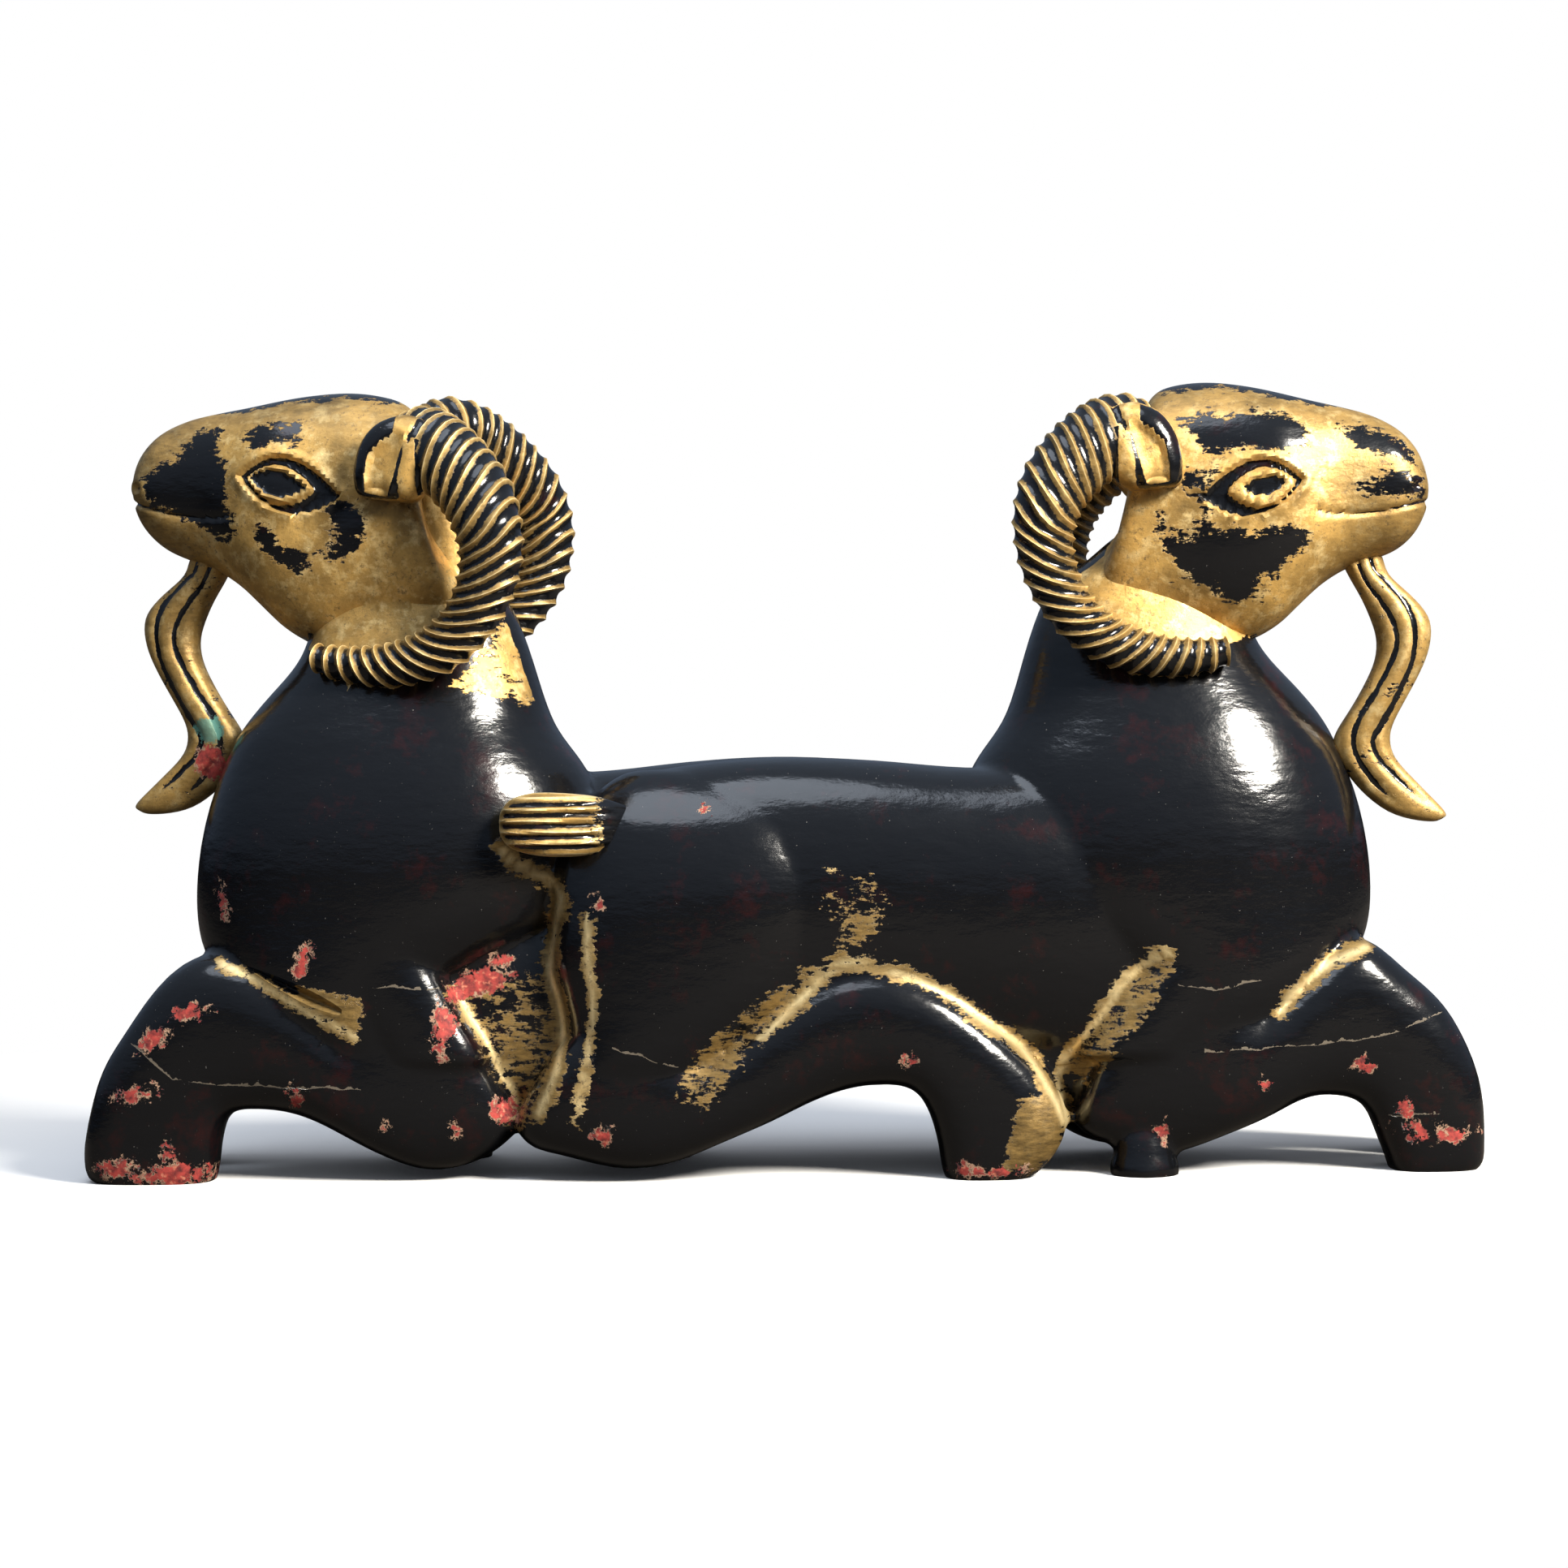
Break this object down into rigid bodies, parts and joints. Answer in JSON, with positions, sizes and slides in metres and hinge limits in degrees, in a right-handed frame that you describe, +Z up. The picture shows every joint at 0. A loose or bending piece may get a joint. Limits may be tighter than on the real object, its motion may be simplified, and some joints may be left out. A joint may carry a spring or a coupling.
{
  "type": "double ram carving",
  "caption": "Carved wooden sculpture of lying rams, side by side and head to tail, with curled ridged horns and long beards; a display ornament that stands on its own hooves.",
  "frame": {"origin": "centre of the bounding box's underside, on the ground plane under the hooves", "axes": "+X along the length, the way the ram on the -Y side faces; +Z up; the thickness lies along Y"},
  "size_m": [0.6095, 0.1438, 0.3487],
  "materials": {
    "lacquered_gilt_wood": "gloss black lacquer over a red ground, worn gilding on the heads, horns, beards and in the valleys"
  },
  "bodies": {
    "root": {"double_ram_carving": "lacquered_gilt_wood"}
  },
  "joints": []
}
